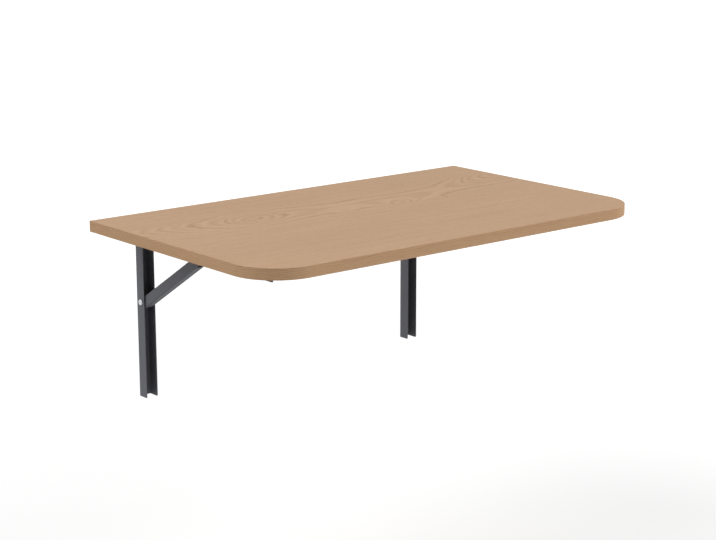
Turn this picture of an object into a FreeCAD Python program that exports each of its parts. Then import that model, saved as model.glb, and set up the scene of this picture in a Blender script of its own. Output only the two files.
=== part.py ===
"""Wall mounted drop leaf table: a rounded oak-faced leaf on two folding steel brackets.

Frame, in millimetres: the wall is the plane y = 0 and the table stands out along -Y, X runs along
the wall and Z is up. The origin is the middle of the four outer wall screw holes. The leaf is open.
Each bracket is a wall rail, a table arm hinged to its top, and a strut that turns on a rivet in the
rail and slides along a slot in the arm.
"""
import FreeCAD, Part
import math
import os
import re

import Sketcher
from FreeCAD import Placement, Rotation, Vector

SIZES = {
    # leaf: chipboard core, laminate on both faces, edge band all round
    "top_width": 1000,
    "top_depth": 600,
    "top_height": 225,
    "top_offset": 16,
    "wall_gap": 1,
    "core_thickness": 22,
    "skin": 0.4,
    "band": 1,
    "band_arris": 0.6,
    "corner_radius": 100,
    # bent steel channels
    "plate": 1.5,
    "bend_outside": 2.4,
    "bend_inside": 0.9,
    "rail_spacing": 726,
    "rail_width": 27.6,
    "rail_depth": 27.4,
    "rail_length": 362,
    "rail_drop": 167,
    "rail_top_round": 10,
    "rail_foot_round": 3,
    "wall_hole": 6.5,
    "hole_rise": 140,
    "arm_width": 24,
    "arm_depth": 35,
    "arm_reach": 473,
    "arm_heel": 10.5,
    "arm_heel_round": 9,
    "arm_tip_round": 2.5,
    "strut_width": 20,
    "strut_above": 7,
    "strut_below": 14.2,
    "strut_angle": 32,
    "web_start": 2,
    "ear_radius": 9,
    "ear_taper": 50,
    "ear_flat": 10,
    "ear_round": 8.9,
    "ear_top_round": 6.5,
    # pivots: distance from the wall, height, and depth under the leaf
    "hinge_back": 16,
    "hinge_drop": 25.5,
    "foot_back": 16,
    "foot_height": 39.5,
    "slot_drop": 15,
    "slot_slack": 3,
    # pins, sleeves and rivets
    "pin": 8,
    "running_fit": 0.1,
    "tight_fit": 0.04,
    "head": 13,
    "head_height": 3,
    "tail": 12,
    "tail_height": 2.2,
    "head_round": 1.9,
    "axle_proud": 0.2,
    "sleeve": 12,
    "end_play": 0.1,
    "spacer": 12,
    "relief_gap": 0.6,
    # spring catch
    "catch_width": 12,
    "catch_plate": 1,
    "catch_gap": 0.3,
    "catch_slope": 68.5,
    "catch_flat": 34,
    "catch_edge": 8,
    "catch_pitch": 16,
    "catch_rivet": 4,
    "catch_head": 7,
    "catch_head_height": 1.6,
    # wood screws that hold each arm to the leaf
    "screw": 4.5,
    "screw_head": 8.4,
    "screw_head_height": 2.3,
    "screw_bite": 16,
    "screw_tip": 3,
    "screw_first": 36,
    "screw_second": 156,
    "screw_third": 364,
    "screw_fourth": 428,
}

DERIVED = {
    "underside": "top_height - core_thickness - 2 * skin",
    "hinge_height": "underside - hinge_drop",
    "slot_height": "underside - slot_drop",
    "strut_rise": "slot_height - foot_height",
    "strut_run": "strut_rise / tan(strut_angle)",
    "strut_length": "strut_rise / sin(strut_angle)",
    "strut_depth": "strut_above + strut_below",
    "ear_drop": "strut_below - bend_outside",
    "open_slide": "foot_back + strut_run - hinge_back",
    "folded_step": "hinge_back + hinge_drop - slot_drop - foot_back",
    "rivet_reach": "hinge_height - foot_height",
    "folded_slide": "hinge_height - foot_height + sqrt(strut_length ^ 2 - folded_step ^ 2)",
    "catch_start": "open_slide + sleeve / 2 + catch_gap",
    "catch_bend": "catch_start + catch_slope",
    "catch_end": "catch_bend + catch_flat",
    "arm_ceiling": "hinge_drop - plate",
}

SIDES = {"left": -1, "right": 1}
SCREWS = ("screw_first", "screw_second", "screw_third", "screw_fourth")
UP = Vector(0, 0, 1)
ALONG_X = Rotation(Vector(0, 1, 0), 90)

doc = FreeCAD.newDocument("WallTable")
sheet = doc.addObject("Spreadsheet::Sheet", "Sizes")
for row, (alias, value) in enumerate(SIZES.items(), start=1):
    sheet.set(f"A{row}", alias)
    sheet.set(f"B{row}", str(value))
    sheet.setAlias(f"B{row}", alias)
doc.recompute()


def size(text):
    """The expression in text with every size name pointed at its cell."""
    def cell(match):
        word = match[0]
        if word in DERIVED:
            return "(" + size(DERIVED[word]) + ")"
        return "Sizes." + word if word in SIZES else word
    return re.sub(r"[a-z_]+", cell, text)


def number(text):
    return float(sheet.evalExpression(size(text)))


def bind(item, **sizes):
    for name, text in sizes.items():
        item.setExpression(name, size(text))
    return item


def locate(item, x="0", y="0", z="0"):
    for axis, text in zip("xyz", (x, y, z)):
        item.setExpression(f".Placement.Base.{axis}", size(text))
    return item


def bracket_x(sign):
    return f"{sign} * rail_spacing / 2"


# Sketches: every corner is held by its own pair of sizes.

def sketch_on(body, role):
    sketch = body.newObject("Sketcher::SketchObject", body.Name + "_Sketch")
    plane = next(item for item in body.Origin.OriginFeatures if item.Role == role)
    sketch.AttachmentSupport = [(plane, "")]
    sketch.MapMode = "FlatFace"
    return sketch


def hold_point(sketch, geometry, point, x, y):
    for kind, text in (("DistanceX", x), ("DistanceY", y)):
        index = sketch.addConstraint(
            Sketcher.Constraint(kind, -1, 1, geometry, point, number(text)))
        sketch.setExpression(f"Constraints[{index}]", size(text))


def hold_radius(sketch, geometry, radius):
    index = sketch.addConstraint(Sketcher.Constraint("Radius", geometry, number(radius)))
    sketch.setExpression(f"Constraints[{index}]", size(radius))


def polygon(body, role, corners):
    sketch = sketch_on(body, role)
    points = [Vector(number(x), number(y), 0) for x, y in corners]
    count = len(points)
    for index, start in enumerate(points):
        sketch.addGeometry(Part.LineSegment(start, points[(index + 1) % count]), False)
    for index, (x, y) in enumerate(corners):
        sketch.addConstraint(
            Sketcher.Constraint("Coincident", index, 2, (index + 1) % count, 1))
        hold_point(sketch, index, 1, x, y)
    return sketch


def circles(body, role, diameter, centres):
    sketch = sketch_on(body, role)
    for x, y in centres:
        centre = Vector(number(x), number(y), 0)
        index = sketch.addGeometry(Part.Circle(centre, UP, number(diameter) / 2), False)
        hold_point(sketch, index, 3, x, y)
        hold_radius(sketch, index, f"({diameter}) / 2")
    return sketch


def slot(body, role, diameter, start, end, y):
    """A round-ended slot from start to end along the sketch's first axis."""
    sketch = sketch_on(body, role)
    radius = number(diameter) / 2
    level = number(y)
    first, last = sorted((start, end), key=number)
    near = Vector(number(first), level, 0)
    far = Vector(number(last), level, 0)
    rise = Vector(0, radius, 0)
    quarter = math.pi / 2
    sketch.addGeometry([
        Part.ArcOfCircle(Part.Circle(near, UP, radius), quarter, 3 * quarter),
        Part.ArcOfCircle(Part.Circle(far, UP, radius), -quarter, quarter),
        Part.LineSegment(near + rise, far + rise),
        Part.LineSegment(near - rise, far - rise),
    ], False)
    for arc, arc_end, line, line_end in ((0, 1, 2, 1), (0, 2, 3, 1), (1, 1, 3, 2), (1, 2, 2, 2)):
        sketch.addConstraint(Sketcher.Constraint("Tangent", arc, arc_end, line, line_end))
    sketch.addConstraint(Sketcher.Constraint("Equal", 0, 1))
    hold_point(sketch, 0, 3, first, y)
    hold_point(sketch, 1, 3, last, y)
    hold_radius(sketch, 0, f"({diameter}) / 2")
    return sketch


# Features of a body.

def new_body(label):
    body = doc.addObject("PartDesign::Body", label)
    body.Label = label
    return body


def extrude(body, sketch, length, symmetric=False):
    pad = body.newObject("PartDesign::Pad", body.Name + "_Pad")
    pad.Profile = sketch
    pad.SideType = "Symmetric" if symmetric else "One side"
    bind(pad, Length=length)
    doc.recompute()
    return pad


def cut(body, sketch, depth=None, width=None):
    """Pocket a sketch: up from its plane to a depth, to a width centred on it, or right through."""
    before = body.Shape.Volume
    pocket = body.newObject("PartDesign::Pocket", body.Name + "_Pocket")
    pocket.Profile = sketch
    if depth:
        pocket.Reversed = True
        bind(pocket, Length=depth)
    else:
        pocket.SideType = "Symmetric"
        if width:
            bind(pocket, Length=width)
        else:
            pocket.Type = "ThroughAll"
    doc.recompute()
    if body.Shape.Volume >= before:
        raise ValueError(f"{pocket.Name} removed nothing from {body.Label}")
    return pocket


def round_off(body, radius, wanted):
    """Fillet the edges of the body that wanted picks out."""
    tip = body.Tip
    names = [f"Edge{index}" for index, edge in enumerate(tip.Shape.Edges, start=1) if wanted(edge)]
    if not names:
        raise ValueError(f"no edge to round on {body.Label}")
    fillet = body.newObject("PartDesign::Fillet", body.Name + "_Fillet")
    fillet.Base = (tip, names)
    bind(fillet, Radius=radius)
    doc.recompute()
    return fillet


def edge_at(direction, **levels):
    """A test for straight edges along a direction whose middle lies at the given levels."""
    wanted = [(axis, number(text)) for axis, text in levels.items()]

    def test(edge):
        start, end = edge.Vertexes[0].Point, edge.Vertexes[-1].Point
        run = end - start
        if run.Length < 1e-6 or run.cross(direction).Length > 1e-6 * run.Length:
            return False
        middle = (start + end) / 2
        return all(abs(getattr(middle, axis) - level) < 1e-4 for axis, level in wanted)
    return test


def either(*tests):
    return lambda edge: any(test(edge) for test in tests)


X_WAY = Vector(1, 0, 0)
Y_WAY = Vector(0, 1, 0)


# Leaf.

def board(label, inset, thickness, level):
    """A layer of the leaf, with two round front corners, inset from the finished edge."""
    body = new_body(label)
    half = f"top_width / 2 - ({inset})"
    rear = f"-wall_gap - ({inset})"
    front = f"-wall_gap - top_depth + ({inset})"
    outline = [(f"-({half})", rear), (half, rear), (half, front), (f"-({half})", front)]
    extrude(body, polygon(body, "XY_Plane", outline), thickness)
    round_off(body, f"corner_radius - ({inset})", edge_at(UP, y=front))
    return locate(body, x="top_offset", z=level)


def screw_places():
    """Where the arms' screws enter the leaf, seen from the middle of the leaf."""
    return [(f"{sign} * rail_spacing / 2 - top_offset", f"-(hinge_back + {place})")
            for sign in SIDES.values() for place in SCREWS]


def make_core():
    core = board("top_core", "band", "core_thickness", "underside + skin")
    holes = circles(core, "XY_Plane", "screw + tight_fit", screw_places())
    cut(core, holes, depth="screw_bite + screw_tip")
    return core


def make_skins():
    top = board("top_laminate", "band", "skin", "top_height - skin")
    under = board("under_laminate", "band", "skin", "underside")
    cut(under, circles(under, "XY_Plane", "screw + tight_fit", screw_places()))
    return [top, under]


def make_bands():
    """The band that wraps both sides and the front, and the straight one on the rear edge."""
    outer = board("band_outer", "0", "top_height - underside", "underside")
    levels = (0, number("top_height - underside"))
    rear = -number("wall_gap")

    def arris(edge):
        box = edge.BoundBox
        flat = abs(box.ZMax - box.ZMin) < 1e-4
        return flat and any(abs(box.ZMin - level) < 1e-4 for level in levels) and box.YMin < rear - 1
    round_off(outer, "band_arris", arris)
    inner = board("band_inner", "band", "top_height - underside", "underside")
    rear_slice = bind(doc.addObject("Part::Box", "RearSlice"),
                      Length="top_width", Width="band", Height="top_height - underside")
    locate(rear_slice, "top_offset - top_width / 2", "-wall_gap - band", "underside")
    ring = doc.addObject("Part::Cut", "BandRing")
    ring.Base, ring.Tool = outer, inner
    wrap = doc.addObject("Part::Cut", "edge_band_front")
    wrap.Base, wrap.Tool = ring, rear_slice
    strip = doc.addObject("Part::Common", "edge_band_rear")
    strip.Base, strip.Tool = ring, rear_slice
    return [wrap, strip]


# Steel channels.

def channel(width, depth, web):
    """Corners of a channel's section, its web at the level web and its flanges below it."""
    half = f"({width}) / 2"
    inner = f"({width}) / 2 - plate"
    return [(f"-({half})", web), (half, web), (half, f"{web} - {depth}"), (inner, f"{web} - {depth}"),
            (inner, f"{web} - plate"), (f"-({inner})", f"{web} - plate"),
            (f"-({inner})", f"{web} - {depth}"), (f"-({half})", f"{web} - {depth}")]


def make_rail(side, sign):
    """Upright channel: web on the wall, flanges to the room. Its own frame starts at its foot."""
    body = new_body(f"{side}_wall_rail")
    extrude(body, polygon(body, "XY_Plane", channel("rail_width", "rail_depth", "0")), "rail_length")
    round_off(body, "bend_outside", edge_at(UP, y="0"))
    round_off(body, "bend_inside", edge_at(UP, y="-plate"))
    round_off(body, "rail_top_round", edge_at(X_WAY, y="-rail_depth", z="rail_length"))
    round_off(body, "rail_foot_round", edge_at(X_WAY, y="-rail_depth", z="0"))
    wall_holes = [("0", f"rail_drop + ({step}) * hole_rise") for step in (-1, 0, 1)]
    cut(body, circles(body, "XZ_Plane", "wall_hole", wall_holes))
    pivots = [("-hinge_back", "hinge_height + rail_drop"), ("-foot_back", "foot_height + rail_drop")]
    cut(body, circles(body, "YZ_Plane", "pin + tight_fit", pivots))
    return locate(body, x=bracket_x(sign), z="-rail_drop")


def make_arm(side, sign):
    """Channel screwed under the leaf, open downwards, notched to clear the strut's foot rivet.

    Its own frame sits on the hinge axis.
    """
    body = new_body(f"{side}_table_arm")
    section = polygon(body, "XZ_Plane", channel("arm_width", "arm_depth", "hinge_drop"))
    section.setExpression(".AttachmentOffset.Base.z", size("-arm_heel"))
    extrude(body, section, "arm_heel + arm_reach - hinge_back")
    round_off(body, "bend_outside", edge_at(Y_WAY, z="hinge_drop"))
    round_off(body, "bend_inside", edge_at(Y_WAY, z="arm_ceiling"))
    round_off(body, "arm_heel_round", edge_at(X_WAY, y="arm_heel", z="hinge_drop - arm_depth"))
    round_off(body, "arm_tip_round",
              edge_at(X_WAY, y="hinge_back - arm_reach", z="hinge_drop - arm_depth"))
    cut(body, circles(body, "YZ_Plane", "pin + running_fit", [("0", "0")]))
    cut(body, slot(body, "YZ_Plane", "pin + 4 * running_fit", "-open_slide",
                   "-(folded_slide + slot_slack)", "hinge_drop - slot_drop"))
    relief = "spacer / 2 + relief_gap"
    mouth = [(f"-rivet_reach - ({relief})", "0"), (f"-rivet_reach + {relief}", "0"),
             (f"-rivet_reach + {relief}", "-arm_depth"), (f"-rivet_reach - ({relief})", "-arm_depth")]
    cut(body, circles(body, "YZ_Plane", f"2 * ({relief})", [("-rivet_reach", "0")]))
    cut(body, polygon(body, "YZ_Plane", mouth))
    cut(body, circles(body, "XY_Plane", "screw + tight_fit", [("0", f"-{place}") for place in SCREWS]))
    cut(body, circles(body, "XY_Plane", "catch_rivet + tight_fit", catch_rivet_places()))
    return locate(body, bracket_x(sign), "-hinge_back", "hinge_height")


def make_strut(side, sign):
    """Channel strut: its web stops short of both pivots, and its flanges end in round ears.

    Its own frame sits on the foot pivot, with the strut along -Y and the web underneath. Towards
    the leaf the flanges taper, so that the ears run inside the arm.
    """
    body = new_body(f"{side}_support_strut")
    foot_end, slide_end = "ear_radius", "-(strut_length + ear_radius)"
    blank = [(foot_end, "strut_above"), (foot_end, "-strut_below"),
             (slide_end, "-strut_below"), (slide_end, "strut_above")]
    extrude(body, polygon(body, "YZ_Plane", blank), "strut_width", symmetric=True)
    round_off(body, "bend_outside", edge_at(Y_WAY, z="-strut_below"))

    clear = "2 * strut_depth"
    foot_web, slide_web = "-web_start", "-(strut_length - ear_taper)"
    past_foot, past_slide = clear, f"-(strut_length + {clear})"
    foot_corner = [(past_foot, "-ear_drop"), (foot_web, "-ear_drop"),
                   (foot_web, f"-({clear})"), (past_foot, f"-({clear})")]
    slide_corner = [(past_slide, "-ear_radius"), ("-(strut_length - ear_flat)", "-ear_radius"),
                    (slide_web, "-strut_below"), (slide_web, f"-({clear})"),
                    (past_slide, f"-({clear})")]
    for corner in (foot_corner, slide_corner):
        cut(body, polygon(body, "YZ_Plane", corner))
    inside = [(past_foot, clear), (past_foot, f"-({clear})"), (foot_web, f"-({clear})"),
              (foot_web, "plate - strut_below"), (slide_web, "plate - strut_below"),
              (slide_web, f"-({clear})"), (past_slide, f"-({clear})"), (past_slide, clear)]
    cut(body, polygon(body, "YZ_Plane", inside), width="strut_width - 2 * plate")
    round_off(body, "ear_top_round", either(edge_at(X_WAY, y=foot_end, z="strut_above"),
                                            edge_at(X_WAY, y=slide_end, z="strut_above")))
    round_off(body, "ear_round", either(edge_at(X_WAY, y=foot_end, z="-ear_drop"),
                                        edge_at(X_WAY, y=slide_end, z="-ear_radius")))
    cut(body, circles(body, "YZ_Plane", "pin + running_fit", [("0", "0"), ("-strut_length", "0")]))
    body.Placement = Placement(Vector(0, 0, 0), Rotation(X_WAY, -number("strut_angle")))
    body.setExpression(".Placement.Rotation.Angle", size("-strut_angle"))
    return locate(body, bracket_x(sign), "-foot_back", "foot_height")


# Pins, sleeves and rivets, all along X.

def make_rivet(label, sign, y, z):
    """A domed rivet through both flanges of a rail: the head is on the left, the closed end right."""
    body = new_body(label)
    half = "rail_width / 2"
    outline = [(f"-({half}) - head_height", "0"), (f"-({half}) - head_height", "head / 2"),
               (f"-({half})", "head / 2"), (f"-({half})", "pin / 2"), (half, "pin / 2"),
               (half, "tail / 2"), (f"{half} + tail_height", "tail / 2"), (f"{half} + tail_height", "0")]
    sketch = polygon(body, "XY_Plane", outline)
    turned = body.newObject("PartDesign::Revolution", body.Name + "_Turned")
    turned.Profile = sketch
    turned.ReferenceAxis = (sketch, ["H_Axis"])
    turned.Angle = 360
    doc.recompute()
    ends = (-number(f"{half} + head_height"), number(f"{half} + tail_height"))

    def rim(edge):
        box = edge.BoundBox
        return any(abs(box.XMin - end) < 1e-4 and abs(box.XMax - end) < 1e-4 for end in ends)
    round_off(body, "head_round", rim)
    return locate(body, bracket_x(sign), y, z)


def rod(name, diameter, length, x, y, z):
    """A cylinder centred on x and lying along X."""
    item = doc.addObject("Part::Cylinder", name)
    bind(item, Radius=f"({diameter}) / 2", Height=length)
    item.Placement = Placement(Vector(0, 0, 0), ALONG_X)
    return locate(item, f"{x} - ({length}) / 2", y, z)


def tube(label, diameter, bore, length, x, y, z):
    item = doc.addObject("Part::Cut", label)
    item.Base = rod(label + "_outside", diameter, length, x, y, z)
    item.Tool = rod(label + "_bore", bore, f"{length} + 2", x, y, z)
    return item


def group(label, members):
    item = doc.addObject("Part::Compound", label)
    item.Links = members
    return item


def make_pivots(side, sign):
    x = bracket_x(sign)
    bore = "pin + running_fit"
    hinge = ("-hinge_back", "hinge_height")
    foot = ("-foot_back", "foot_height")
    slide = ("-(foot_back + strut_run)", "slot_height")
    gap = "(rail_width - 2 * plate - strut_width) / 2"
    spacers = [tube(f"{side}_spacer_{way}", "spacer", bore, f"{gap} - 2 * end_play",
                    f"{x} + {step} * (strut_width + {gap}) / 2", *foot)
               for way, step in (("outer", "-1"), ("inner", "1"))]
    return [
        make_rivet(f"{side}_hinge_pin", sign, *hinge),
        make_rivet(f"{side}_strut_rivet", sign, *foot),
        tube(f"{side}_hinge_sleeve", "sleeve", bore, "arm_width - 2 * plate - 2 * end_play", x, *hinge),
        group(f"{side}_strut_spacers", spacers),
        rod(f"{side}_slide_axle", "pin", "strut_width + 2 * axle_proud", x, *slide),
        tube(f"{side}_slide_sleeve", "sleeve", bore, "strut_width - 2 * plate - 2 * end_play", x, *slide),
    ]


# Spring catch: a steel strip riveted inside the arm whose free end stands behind the slide sleeve.

def catch_rivet_places():
    last = "catch_end - catch_edge"
    return [("0", f"-({last})"), ("0", f"-({last} - catch_pitch)")]


def make_catch(side, sign):
    body = new_body(f"{side}_catch_spring")
    end_level = "hinge_drop - slot_drop + catch_plate / 2"
    outline = [("-catch_end", "arm_ceiling"), ("-catch_bend", "arm_ceiling"), ("-catch_start", end_level),
               ("-catch_start", f"{end_level} - catch_plate"), ("-catch_bend", "arm_ceiling - catch_plate"),
               ("-catch_end", "arm_ceiling - catch_plate")]
    extrude(body, polygon(body, "YZ_Plane", outline), "catch_width", symmetric=True)
    round_off(body, "catch_width / 4", edge_at(UP, y="-catch_end"))
    cut(body, circles(body, "XY_Plane", "catch_rivet + tight_fit", catch_rivet_places()))
    return locate(body, bracket_x(sign), "-hinge_back", "hinge_height")


def upright(name, kind, sizes, x, y, z):
    return locate(bind(doc.addObject(kind, name), **sizes), x, y, z)


def make_catch_rivets(side, sign):
    rivets = []
    seat = "underside - plate - catch_plate"
    for count, (_, y) in enumerate(catch_rivet_places(), start=1):
        name = f"{side}_catch_rivet_{count}"
        place = (bracket_x(sign), f"-hinge_back + {y}")
        rivet = doc.addObject("Part::Fuse", name)
        rivet.Base = upright(name + "_shank", "Part::Cylinder",
                             {"Radius": "catch_rivet / 2", "Height": "plate + catch_plate"}, *place, seat)
        rivet.Tool = upright(name + "_head", "Part::Cylinder",
                             {"Radius": "catch_head / 2", "Height": "catch_head_height"},
                             *place, f"{seat} - catch_head_height")
        rivets.append(rivet)
    return group(f"{side}_catch_rivets", rivets)


def make_screws(side, sign):
    """Pan-head wood screws, driven up through the arm's web into the leaf."""
    screws = []
    for place in SCREWS:
        name = f"{side}_{place}"
        spot = (bracket_x(sign), f"-(hinge_back + {place})")
        seat = "underside - plate"
        head = upright(name + "_head", "Part::Cylinder",
                       {"Radius": "screw_head / 2", "Height": "screw_head_height"},
                       *spot, f"{seat} - screw_head_height")
        shank = upright(name + "_shank", "Part::Cylinder",
                        {"Radius": "screw / 2", "Height": "plate + screw_bite"}, *spot, seat)
        point = upright(name + "_point", "Part::Cone",
                        {"Radius1": "screw / 2", "Radius2": "screw / 12", "Height": "screw_tip"},
                        *spot, "underside + screw_bite")
        screw = doc.addObject("Part::MultiFuse", name)
        screw.Shapes = [head, shank, point]
        screws.append(screw)
    return group(f"{side}_arm_screws", screws)


def make_bracket(side, sign):
    return [make_rail(side, sign), make_arm(side, sign), make_strut(side, sign),
            *make_pivots(side, sign), make_catch(side, sign), make_catch_rivets(side, sign),
            make_screws(side, sign)]


nodes = [make_core(), *make_skins(), *make_bands()]
for side, sign in SIDES.items():
    nodes += make_bracket(side, sign)
doc.recompute()

for item in doc.Objects:
    if {"Invalid", "Error"} & set(item.State):
        raise ValueError(f"{item.Label} did not compute: {item.State}")
for node in nodes:
    if node.Shape.isNull() or not node.Shape.isValid():
        raise ValueError(f"{node.Label} has no valid shape")

os.makedirs("parts", exist_ok=True)
for node in nodes:
    node.Shape.exportStep(f"parts/{node.Label}.step")
print(f"{len(nodes)} nodes; strut {number('strut_length'):.2f}; slide {number('open_slide'):.2f} to "
      f"{number('folded_slide'):.2f}")
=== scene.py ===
import math

import bpy
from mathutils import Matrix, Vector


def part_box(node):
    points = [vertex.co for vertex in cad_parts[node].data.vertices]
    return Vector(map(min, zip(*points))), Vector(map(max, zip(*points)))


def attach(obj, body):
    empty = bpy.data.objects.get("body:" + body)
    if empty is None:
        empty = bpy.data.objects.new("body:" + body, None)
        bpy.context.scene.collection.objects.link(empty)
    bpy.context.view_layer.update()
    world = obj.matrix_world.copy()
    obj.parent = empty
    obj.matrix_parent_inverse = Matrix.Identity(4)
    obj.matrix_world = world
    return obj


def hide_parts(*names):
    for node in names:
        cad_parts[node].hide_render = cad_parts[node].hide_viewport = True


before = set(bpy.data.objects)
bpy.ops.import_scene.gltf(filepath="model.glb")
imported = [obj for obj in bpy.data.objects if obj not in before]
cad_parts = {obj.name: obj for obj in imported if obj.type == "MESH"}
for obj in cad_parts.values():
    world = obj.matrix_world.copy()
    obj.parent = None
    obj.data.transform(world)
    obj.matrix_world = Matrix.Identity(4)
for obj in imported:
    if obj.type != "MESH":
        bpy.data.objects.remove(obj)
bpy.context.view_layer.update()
bpy.ops.object.select_all(action="DESELECT")

# Camera: a short telephoto, a little above the leaf and off its left front corner, where
# someone would stand who comes into the room.
camera_place = (-2.3309, -3.1040, 0.9704)
degrees_down, degrees_aside = 13.379, 39.822
sensor_width = 36.0
image_width = 716.0
focal_pixels = 1795.8
centre_offset_pixels = 11.9
bpy.ops.object.camera_add(
    location=camera_place,
    rotation=(math.radians(90 - degrees_down), 0, math.radians(-degrees_aside)))
camera = bpy.context.object
camera.data.sensor_width = sensor_width
camera.data.lens = sensor_width * focal_pixels / image_width
camera.data.shift_x = -centre_offset_pixels / image_width
camera.data.clip_start = 0.05
camera.data.clip_end = 60
bpy.context.scene.camera = camera
bpy.context.scene.view_settings.view_transform = "Standard"


# Studio floor: seamless pale paper, well below the table as in a room. To the lens and to
# reflections it shines back white, and it keeps the table's soft shadow. From below it is clear,
# so that the brackets can be looked at from there too.
class Flow:
    """A node's output on its way to a finish. Arithmetic on it adds Math nodes."""

    def __init__(self, tree, socket=None):
        self.tree = tree
        self.socket = socket

    def node(self, kind, settings=None, inputs=None, output=0):
        """Adds any kind of node: its settings come first, among them the points of a curve, then
        what goes into its sockets."""
        made = self.tree.nodes.new("ShaderNode" + kind)
        for name, value in (settings or {}).items():
            if name == "points":
                curve = made.mapping.curves[0].points
                curve[0].location, curve[1].location = value[0], value[-1]
                for place in value[1:-1]:
                    curve.new(*place)
                made.mapping.update()
            else:
                setattr(made, name, value)
        for name, value in (inputs or {}).items():
            if isinstance(value, Flow):
                self.tree.links.new(value.socket, made.inputs[name])
            else:
                made.inputs[name].default_value = value
        return Flow(self.tree, made.outputs[output] if made.outputs else None)

    def math(self, operation, other=0.0):
        """A Math node with this value first and the other, where it takes two, second."""
        return self.node("Math", {"operation": operation}, {0: self, 1: other})

    def __add__(self, other):
        return self.math("ADD", other)

    def __sub__(self, other):
        return self.math("SUBTRACT", other)

    def __rsub__(self, other):
        return self.node("Math", {"operation": "SUBTRACT"}, {0: other, 1: self})

    def __mul__(self, other):
        return self.math("MULTIPLY", other)

    def __truediv__(self, other):
        return self.math("DIVIDE", other)

    def __rtruediv__(self, other):
        return self.node("Math", {"operation": "DIVIDE"}, {0: other, 1: self})

    def __pow__(self, other):
        return self.math("POWER", other)

    def __abs__(self):
        return self.math("ABSOLUTE")

    __radd__ = __add__
    __rmul__ = __mul__


def bare_finish(name):
    """A new node material with nothing in it, and where its nodes start."""
    material = bpy.data.materials.new(name)
    material.use_nodes = True
    material.node_tree.nodes.clear()
    return material, Flow(material.node_tree)


def seen_white(start):
    """1 for the lens, mirror and glass rays, 0 for the light that falls on things."""
    seen = start.node("LightPath", output="Is Camera Ray")
    for kind in ("Is Glossy Ray", "Is Transmission Ray"):
        seen = seen.math("MAXIMUM", start.node("LightPath", output=kind))
    return seen


def rise(value, low, high):
    """0 below low, 1 above high and a soft slope between."""
    return value.node("MapRange", {"interpolation_type": "SMOOTHSTEP"},
                      {"Value": value, "From Min": low, "From Max": high})


floor_level = -0.62
floor_size = 30.0
near_glow, glow_starts, glow_full = 0.50, 1.0, 5.5
bpy.ops.mesh.primitive_plane_add(size=floor_size, location=(0, 0, floor_level))
floor = bpy.context.object
floor.name = "studio_floor"
bpy.ops.object.transform_apply()
floor_paper, start = bare_finish("floor_paper")
place = start.node("TexCoord", output="Object")
away = start.node("VectorMath", {"operation": "LENGTH"}, {0: place}, output="Value")
glow = rise(away, glow_starts, glow_full) * (1 - near_glow) + near_glow
paper = start.node("BsdfDiffuse", inputs={"Color": (0.6, 0.6, 0.6, 1)})
shine = start.node("Emission", inputs={"Strength": seen_white(start) * glow})
start.node("OutputMaterial", inputs={"Surface": start.node("MixShader", inputs={
    0: start.node("NewGeometry", output="Backfacing"),
    1: start.node("AddShader", inputs={0: paper, 1: shine}),
    2: start.node("BsdfTransparent")})})
floor.data.materials.append(floor_paper)

# Studio light: three round softboxes, at the left rear, at the right front and a weak one
# overhead to the left, and white walls that give a little light back.
wall_light = 0.26
softboxes = (  # name, strength, distance, width, degrees up, degrees round from the front
    ("softbox_left", 0.54, 8.0, 6.5, 46, -101),
    ("softbox_right", 0.66, 8.0, 6.5, 30, 40),
    ("softbox_overhead", 0.09, 3.4, 2.5, 60, -90))
world = bpy.data.worlds.new("studio_walls")
bpy.context.scene.world = world
world.use_nodes = True
world.node_tree.nodes.clear()
start = Flow(world.node_tree)
walls = start.node("Background", inputs={
    "Color": (1, 1, 1, 1), "Strength": seen_white(start) * (1 - wall_light) + wall_light})
start.node("OutputWorld", inputs={"Surface": walls})

for lamp_name, strength, distance, width, degrees_up, degrees_round in softboxes:
    height, turn = math.radians(degrees_up), math.radians(degrees_round)
    away = distance * math.cos(height)
    bpy.ops.object.light_add(
        type="AREA", rotation=(math.pi / 2 - height, 0, turn),
        location=(away * math.sin(turn), -away * math.cos(turn), distance * math.sin(height)))
    softbox = bpy.context.object
    softbox.name = lamp_name
    softbox.data.shape = "DISK"
    softbox.data.size = width
    softbox.data.energy = strength * (math.pi * distance) ** 2
    softbox.visible_camera = False


# Oak laminate, on top and underneath: a printed sheet 0.4 mm thick, pressed on the board, with
# the grain along the wall and the heart of the tree a little behind the middle.
def principled(start, inputs):
    """Ends a finish with the everyday shader, given what goes into its sockets."""
    surface = start.node("BsdfPrincipled", inputs=inputs)
    start.node("OutputMaterial", inputs={"Surface": surface})


def noise(start, place, scale=1.0, detail=2.0, roughness=0.5):
    """Soft noise around one half. A larger scale makes finer spots."""
    return start.node("TexNoise", {"noise_dimensions": "3D"}, {
        "Vector": place, "Scale": scale, "Detail": detail, "Roughness": roughness})


def mix(start, share, first, second):
    """The first colour where share is 0, the second where it is 1, and between them a blend."""
    return start.node("Mix", {"data_type": "RGBA", "blend_type": "MIX", "clamp_factor": True},
                      {0: share, 6: first, 7: second}, output=2)


def split_place(start):
    """x, y and z of each spot on the piece."""
    place = start.node("SeparateXYZ", inputs={0: start.node("TexCoord", output="Object")})
    return [Flow(start.tree, axis) for axis in place.socket.node.outputs]


def give_finish(material, *names):
    """Makes this the only finish of each of these CAD nodes."""
    for name in names:
        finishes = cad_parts[name].data.materials
        finishes.clear()
        finishes.append(material)


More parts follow.
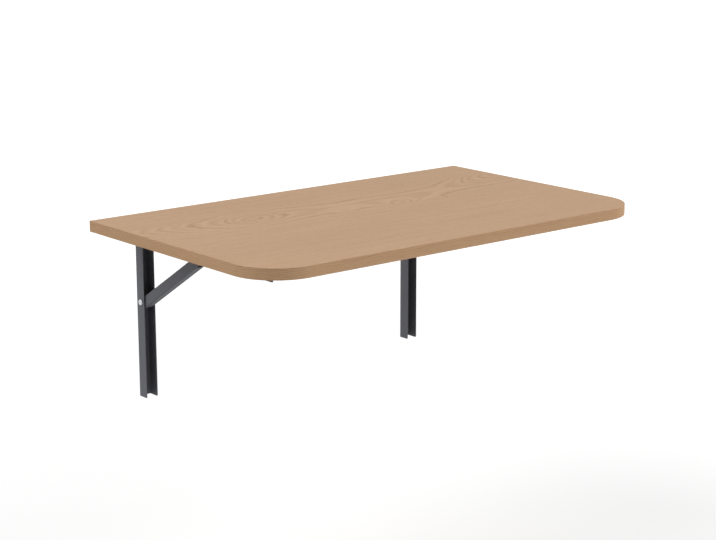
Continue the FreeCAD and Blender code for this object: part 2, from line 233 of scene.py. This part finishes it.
def oak(start, along, across, heart, depth, year_width, tone, figure=1.0, eyes=()):
    """Oak grain in metres. The board is a slice of a tree whose heart runs at across = heart,
    depth below the surface, so each year's growth shows where its ring meets the surface. Eyes
    are where the trunk bulged towards the face: along, across, half length, half width, bulge."""
    heart_strays, ring_strays, ring_ripples = 0.020, 0.003, 0.0048
    first_ring, fibre_fray = 0.75, 0.35
    uneven_years, years_alike = 1.2, 0.35

    def at(stretch_along, stretch_across, shift=0.0):
        return start.node("CombineXYZ", inputs={
            0: along * stretch_along + shift, 1: across * stretch_across, 2: shift})

    # What varies over the board: fibres, streaks, clouds, and how the trunk strayed and rippled.
    fibre = noise(start, at(11.0, 900.0), detail=3, roughness=0.6)
    streak = noise(start, at(2.2, 75.0, 4.0), detail=3, roughness=0.6)
    cloud = noise(start, at(2.5, 4.0, 9.0))
    drift = noise(start, at(5.0, 11.0, 7.7), detail=3, roughness=0.55) - 0.5
    ripple = noise(start, at(28.0, 60.0, 2.2)) - 0.5

    # How far each spot is from the heart, and so which year's growth it is.
    aside = across - heart + drift * heart_strays
    radius = (aside * aside + depth * depth) ** 0.5 + drift * ring_strays + ripple * ring_ripples
    for eye_along, eye_across, half_length, half_width, bulge in eyes:
        far = (((along - eye_along) / half_length) ** 2.0
               + ((across - eye_across) / half_width) ** 2.0)
        radius = radius - bulge / far.math("EXPONENT")
    good_and_bad = noise(start, start.node("CombineXYZ", inputs={
        0: radius * years_alike / year_width}), detail=1)
    growth = (radius / year_width + first_ring + (fibre - 0.5) * fibre_fray
              + good_and_bad * uneven_years)
    year = growth.math("FLOOR")
    ring = growth - year
    vigour = start.node("TexWhiteNoise", {"noise_dimensions": "1D"}, {"W": year})

    # Spring wood is coarse and dark with pores, and late wood closes the ring with a thin line.
    early = (1 - rise(ring, 0.08, 0.50)) * (0.45 + vigour * 0.55)
    late = rise(ring, 0.35, 0.95) * 0.22 + rise(ring, 0.92, 1.0) * 0.12
    vessels = rise(noise(start, at(85.0, 1700.0, 5.5)), 0.56, 0.66)
    pores = vessels * (0.25 + early * 0.75)

    darkness = ((early * 0.55 + late - 0.22) * figure + (fibre - 0.5) * 0.50
                + (streak - 0.5) * 0.50 + (cloud - 0.5) * 0.30 + 0.32)
    pale, dark, pit = ([c * t for c, t in zip(shade, tone)] + [1] for shade in (
        (0.560, 0.372, 0.236), (0.400, 0.243, 0.140), (0.240, 0.135, 0.072)))
    colour = mix(start, pores * 0.55, mix(start, darkness, pale, dark), pit)
    height = (fibre - 0.5) * 0.25 - pores
    normal = start.node("Bump", inputs={"Strength": 0.20, "Distance": 0.0001, "Height": height})
    return {"Base Color": colour, "Roughness": 0.62 + pores * 0.15 + (fibre - 0.5) * 0.1,
            "Specular IOR Level": 0.12, "Normal": normal}


def bell(value, middle, spread):
    """1 at the middle, falling away softly on both sides."""
    return 1 / (((value - middle) / spread) ** 2.0).math("EXPONENT")


leaf_low, leaf_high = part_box("edge_band_front")
leaf_middle = (leaf_low.x + leaf_high.x) / 2
heart_line = -0.200
heart_front, heart_swing, heart_bend = -0.30, 0.20, 0.13
heart_way = ((0, 0.67), (0.15, 0.55), (0.264, 0.51), (0.4, 0.47), (0.52, 0.44), (0.63, 0.36),
             (0.74, 0.42), (0.83, 0.56), (0.92, 0.7), (1, 0.8))
least_depth, depth_swing = 0.07, 0.09
heart_depth = ((0, 0.82), (0.1, 0.63), (0.2, 0.43), (0.26, 0.34), (0.35, 0.42), (0.48, 0.5),
               (0.62, 0.44), (0.7, 0.47), (0.77, 0.51), (0.83, 0.47), (0.91, 0.32), (1, 0.14))
figure_line, figure_spread = heart_line - 0.015, 0.10
least_figure, added_figure = 0.52, 0.85
eyes = [(leaf_middle + along, across, half_length, half_width, bulge)
        for along, across, half_length, half_width, bulge in (
            (-0.236, -0.197, 0.044, 0.025, 0.011), (-0.035, -0.258, 0.038, 0.018, 0.010),
            (0.114, -0.266, 0.044, 0.021, 0.016), (0.218, -0.280, 0.034, 0.016, 0.011))]
laminate, start = bare_finish("oak_laminate")
x, y, _ = split_place(start)
share = (x - leaf_low.x) / (leaf_high.x - leaf_low.x)
heart = start.node("FloatCurve", {"points": heart_way}, {"Value": share})
heart = heart * heart_swing + heart_front
heart = heart_line + (heart - heart_line) * bell(y, heart_line, heart_bend)
depth = start.node("FloatCurve", {"points": heart_depth}, {"Value": share})
depth = depth * depth_swing + least_depth
principled(start, oak(
    start, x, y, heart, depth, year_width=0.0068, tone=(0.975, 0.975, 0.970),
    figure=least_figure + bell(y, figure_line, figure_spread) * added_figure, eyes=eyes))
give_finish(laminate, "top_laminate", "under_laminate")

# Edge band: oak print again, 1 mm thick, glued round both sides and the front in one run, with a
# separate strip on the edge at the wall. Its grain follows the run round the corners.
corner = 0.100
half_front = (leaf_high.x - leaf_low.x) / 2 - corner
side_run = leaf_high.y - leaf_low.y - corner
band_heart, band_swell, band_depth = 0.10, 0.03, 0.03
swells_per_metre = 5.0
band_print, start = bare_finish("oak_edge_band")
x, y, z = split_place(start)
aside = x - leaf_middle
out = leaf_high.y - y
past_front = (abs(aside) - half_front).math("MAXIMUM", 0.0)
past_side = (out - side_run).math("MAXIMUM", 0.0)
turn = past_front.math("ARCTAN2", past_side)
run = (abs(aside).math("MINIMUM", half_front) + turn * corner
       + side_run - out.math("MINIMUM", side_run))
run = run * aside.math("SIGN")
swell = noise(start, start.node("CombineXYZ", inputs={0: run * swells_per_metre}), detail=1)
principled(start, oak(
    start, run, z, swell * band_swell + band_heart, band_depth, year_width=0.0038,
    tone=(0.97, 0.925, 0.845), figure=1.3))
give_finish(band_print, "edge_band_front", "edge_band_rear")

# Core: wood chips and resin, pressed to a board of 22 mm. The laminate and the band cover it, so
# it shows only at the screw holes.
core, start = bare_finish("chipboard")
place = start.node("TexCoord", output="Object")
chip = start.node("TexVoronoi", {"feature": "F1"}, {"Vector": place, "Scale": 420.0},
                  output="Color")
chip_tone = start.node("SeparateColor", inputs={0: chip})
fleck = noise(start, place, scale=900.0)
colour = mix(start, chip_tone * 0.8 + fleck * 0.2, (0.62, 0.46, 0.29, 1), (0.36, 0.23, 0.12, 1))
normal = start.node("Bump", inputs={"Strength": 0.5, "Distance": 0.0003, "Height": chip_tone})
principled(start, {"Base Color": colour, "Roughness": 0.85, "Normal": normal})
give_finish(core, "top_core")

# Brackets: 1.5 mm steel strip, pressed to channels and powder coated in satin black. The powder
# leaves a fine orange peel.
coat, start = bare_finish("black_powder_coat")
place = start.node("TexCoord", output="Object")
peel = noise(start, place, scale=900.0, roughness=0.4)
cloud = noise(start, place, scale=22.0)
colour = mix(start, cloud, (0.095, 0.098, 0.113, 1), (0.117, 0.121, 0.138, 1))
normal = start.node("Bump", inputs={"Strength": 0.20, "Distance": 0.0001, "Height": peel})
principled(start, {"Base Color": colour, "Roughness": 0.56 + cloud * 0.12,
                   "Specular IOR Level": 0.45, "Normal": normal})
for side in ("left", "right"):
    give_finish(coat, f"{side}_wall_rail", f"{side}_table_arm", f"{side}_support_strut")

# Rivets and pins: turned or cold headed from round steel and bright zinc plated, which leaves a
# slightly cloudy shine.
zinc, start = bare_finish("zinc_plate")
place = start.node("TexCoord", output="Object")
cloud = noise(start, place, scale=260.0, detail=3, roughness=0.6)
grain = noise(start, place, scale=2400.0)
colour = mix(start, cloud, (0.60, 0.61, 0.62, 1), (0.46, 0.47, 0.49, 1))
normal = start.node("Bump", inputs={"Strength": 0.15, "Distance": 0.00005, "Height": grain})
principled(start, {"Base Color": colour, "Metallic": 1.0, "Roughness": 0.24 + cloud * 0.2,
                   "Normal": normal})
for side in ("left", "right"):
    give_finish(zinc, f"{side}_hinge_pin", f"{side}_strut_rivet", f"{side}_slide_axle",
                f"{side}_catch_rivets")


# Arm screws: 4.5 mm wood screws, headed and thread-rolled in steel and zinc plated, four to an
# arm. Each has a pan head with a cross recess and goes up through the arm into the board.
def pick_end(piece, way):
    """Goes into edit mode with only the flat end that faces up (1) or down (-1) selected."""
    bpy.ops.object.mode_set(mode="EDIT")
    bpy.ops.mesh.select_mode(type="FACE")
    bpy.ops.mesh.select_all(action="DESELECT")
    bpy.ops.object.mode_set(mode="OBJECT")
    for face in piece.data.polygons:
        face.select = face.normal.z * way > 0.99
    bpy.ops.object.mode_set(mode="EDIT")


head_radius, head_height, head_crown = 0.0042, 0.0023, 0.0015
recess_length, recess_width, recess_depth = 0.0046, 0.0010, 0.0016
recess_taper = (0.45, 0.8, 1)
thread_radius, root_radius, pitch = 0.00225, 0.0016, 0.0018
ridge_flatness = 0.6
tip_length, tip_share, plain_length = 0.0030, 0.12, 0.0025
shank_in_head = 0.0003
first_turn, turn_step = 0.5, 1.9
screw_spacing = (0.0, 0.120, 0.328, 0.392)
screws_low, screws_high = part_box("left_arm_screws")
shank_length = screws_high.z - screws_low.z - head_height - tip_length

bpy.ops.mesh.primitive_cylinder_add(
    vertices=48, radius=head_radius, depth=head_height, location=(0, 0, -head_height / 2))
head = bpy.context.object
bpy.ops.object.transform_apply()
pick_end(head, -1)
bpy.ops.mesh.bevel(offset=head_crown, segments=6, profile=0.6)
bpy.ops.object.mode_set(mode="OBJECT")

bpy.ops.mesh.primitive_cube_add(size=1, location=(0, 0, -head_height),
                                scale=(recess_length, recess_width, recess_depth * 2))
recess = bpy.context.object
bpy.ops.object.transform_apply()
pick_end(recess, 1)
bpy.ops.transform.resize(value=recess_taper)
bpy.ops.mesh.select_all(action="SELECT")
bpy.ops.mesh.duplicate()
bpy.ops.transform.rotate(value=math.pi / 2, orient_axis="Z", center_override=(0, 0, 0))
bpy.ops.object.mode_set(mode="OBJECT")
bpy.context.view_layer.objects.active = head
cut = head.modifiers.new("recess", "BOOLEAN")
cut.operation, cut.solver, cut.use_self, cut.object = "DIFFERENCE", "EXACT", True, recess
bpy.ops.object.modifier_apply(modifier="recess")
bpy.data.objects.remove(recess)

bpy.ops.mesh.primitive_cylinder_add(
    vertices=24, radius=root_radius, depth=shank_length + shank_in_head,
    location=(0, 0, (shank_length - shank_in_head) / 2))
shank = bpy.context.object
bpy.ops.object.transform_apply()
pick_end(shank, 1)
bpy.ops.mesh.extrude_region_move(TRANSFORM_OT_translate={"value": (0, 0, tip_length)})
bpy.ops.transform.resize(value=(tip_share, tip_share, 1))
bpy.ops.object.mode_set(mode="OBJECT")

bpy.ops.mesh.primitive_circle_add(
    vertices=4, radius=thread_radius - root_radius, rotation=(math.pi / 2, 0, 0),
    location=(root_radius, 0, plain_length))
thread = bpy.context.object
thread.scale = (1, ridge_flatness, 1)
bpy.ops.object.transform_apply()
ridge = thread.modifiers.new("ridge", "SCREW")
ridge.angle, ridge.screw_offset = math.tau, pitch
ridge.iterations = int((shank_length - plain_length) / pitch)
ridge.steps = ridge.render_steps = 20
bpy.ops.object.modifier_apply(modifier="ridge")
bpy.ops.object.mode_set(mode="EDIT")
bpy.ops.mesh.select_all(action="SELECT")
bpy.ops.mesh.fill_holes(sides=0)
bpy.ops.mesh.select_all(action="SELECT")
bpy.ops.mesh.normals_make_consistent(inside=False)
bpy.ops.object.mode_set(mode="OBJECT")

bpy.ops.object.select_all(action="DESELECT")
for shell in (head, shank, thread):
    shell.select_set(True)
bpy.context.view_layer.objects.active = head
bpy.ops.object.join()
screw = bpy.context.object
screw.data.materials.clear()
screw.data.materials.append(zinc)
bpy.ops.object.shade_smooth_by_angle(angle=math.radians(35))

for side in ("left", "right"):
    screws_low, screws_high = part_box(f"{side}_arm_screws")
    bpy.ops.object.select_all(action="DESELECT")
    for index, spacing in enumerate(screw_spacing):
        copy = bpy.data.objects.new(f"{side}_pan_head_screws", screw.data.copy())
        bpy.context.collection.objects.link(copy)
        copy.location = ((screws_low.x + screws_high.x) / 2,
                         screws_high.y - head_radius - spacing, screws_low.z + head_height)
        copy.rotation_euler.z = first_turn + index * turn_step
        copy.select_set(True)
        bpy.context.view_layer.objects.active = copy
    bpy.ops.object.join()
    bpy.ops.object.transform_apply()
    four = bpy.context.object
    four.name = f"{side}_pan_head_screws"
    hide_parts(f"{side}_arm_screws")
    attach(four, "table_top")
    bpy.ops.object.select_all(action="DESELECT")
bpy.data.objects.remove(screw)

# Sleeves and rings: moulded in black nylon, a little waxy, so that steel turns and slides on
# them without a squeak.
nylon, start = bare_finish("black_nylon")
place = start.node("TexCoord", output="Object")
cloud = noise(start, place, scale=300.0)
grain = noise(start, place, scale=1800.0, detail=1)
colour = mix(start, cloud, (0.026, 0.026, 0.027, 1), (0.036, 0.036, 0.037, 1))
normal = start.node("Bump", inputs={"Strength": 0.1, "Distance": 0.00005, "Height": grain})
principled(start, {"Base Color": colour, "Roughness": 0.38 + cloud * 0.1, "Normal": normal})
for side in ("left", "right"):
    give_finish(nylon, f"{side}_hinge_sleeve", f"{side}_strut_spacers", f"{side}_slide_sleeve")

# Spring catch: hardened steel strip, 1 mm thick and riveted inside the arm. It is straw-grey
# from tempering, with fine lines from the rolling mill along its length.
tempered, start = bare_finish("tempered_spring_steel")
place = start.node("TexCoord", output="Object")
rolled = start.node("Mapping", inputs={"Vector": place, "Scale": (1800, 40, 40)})
lines = noise(start, rolled, detail=3)
colour = mix(start, lines, (0.36, 0.35, 0.34, 1), (0.25, 0.25, 0.27, 1))
normal = start.node("Bump", inputs={"Strength": 0.15, "Distance": 0.00005, "Height": lines})
principled(start, {"Base Color": colour, "Metallic": 1.0, "Roughness": 0.26 + lines * 0.2,
                   "Normal": normal})
for side in ("left", "right"):
    give_finish(tempered, f"{side}_catch_spring")
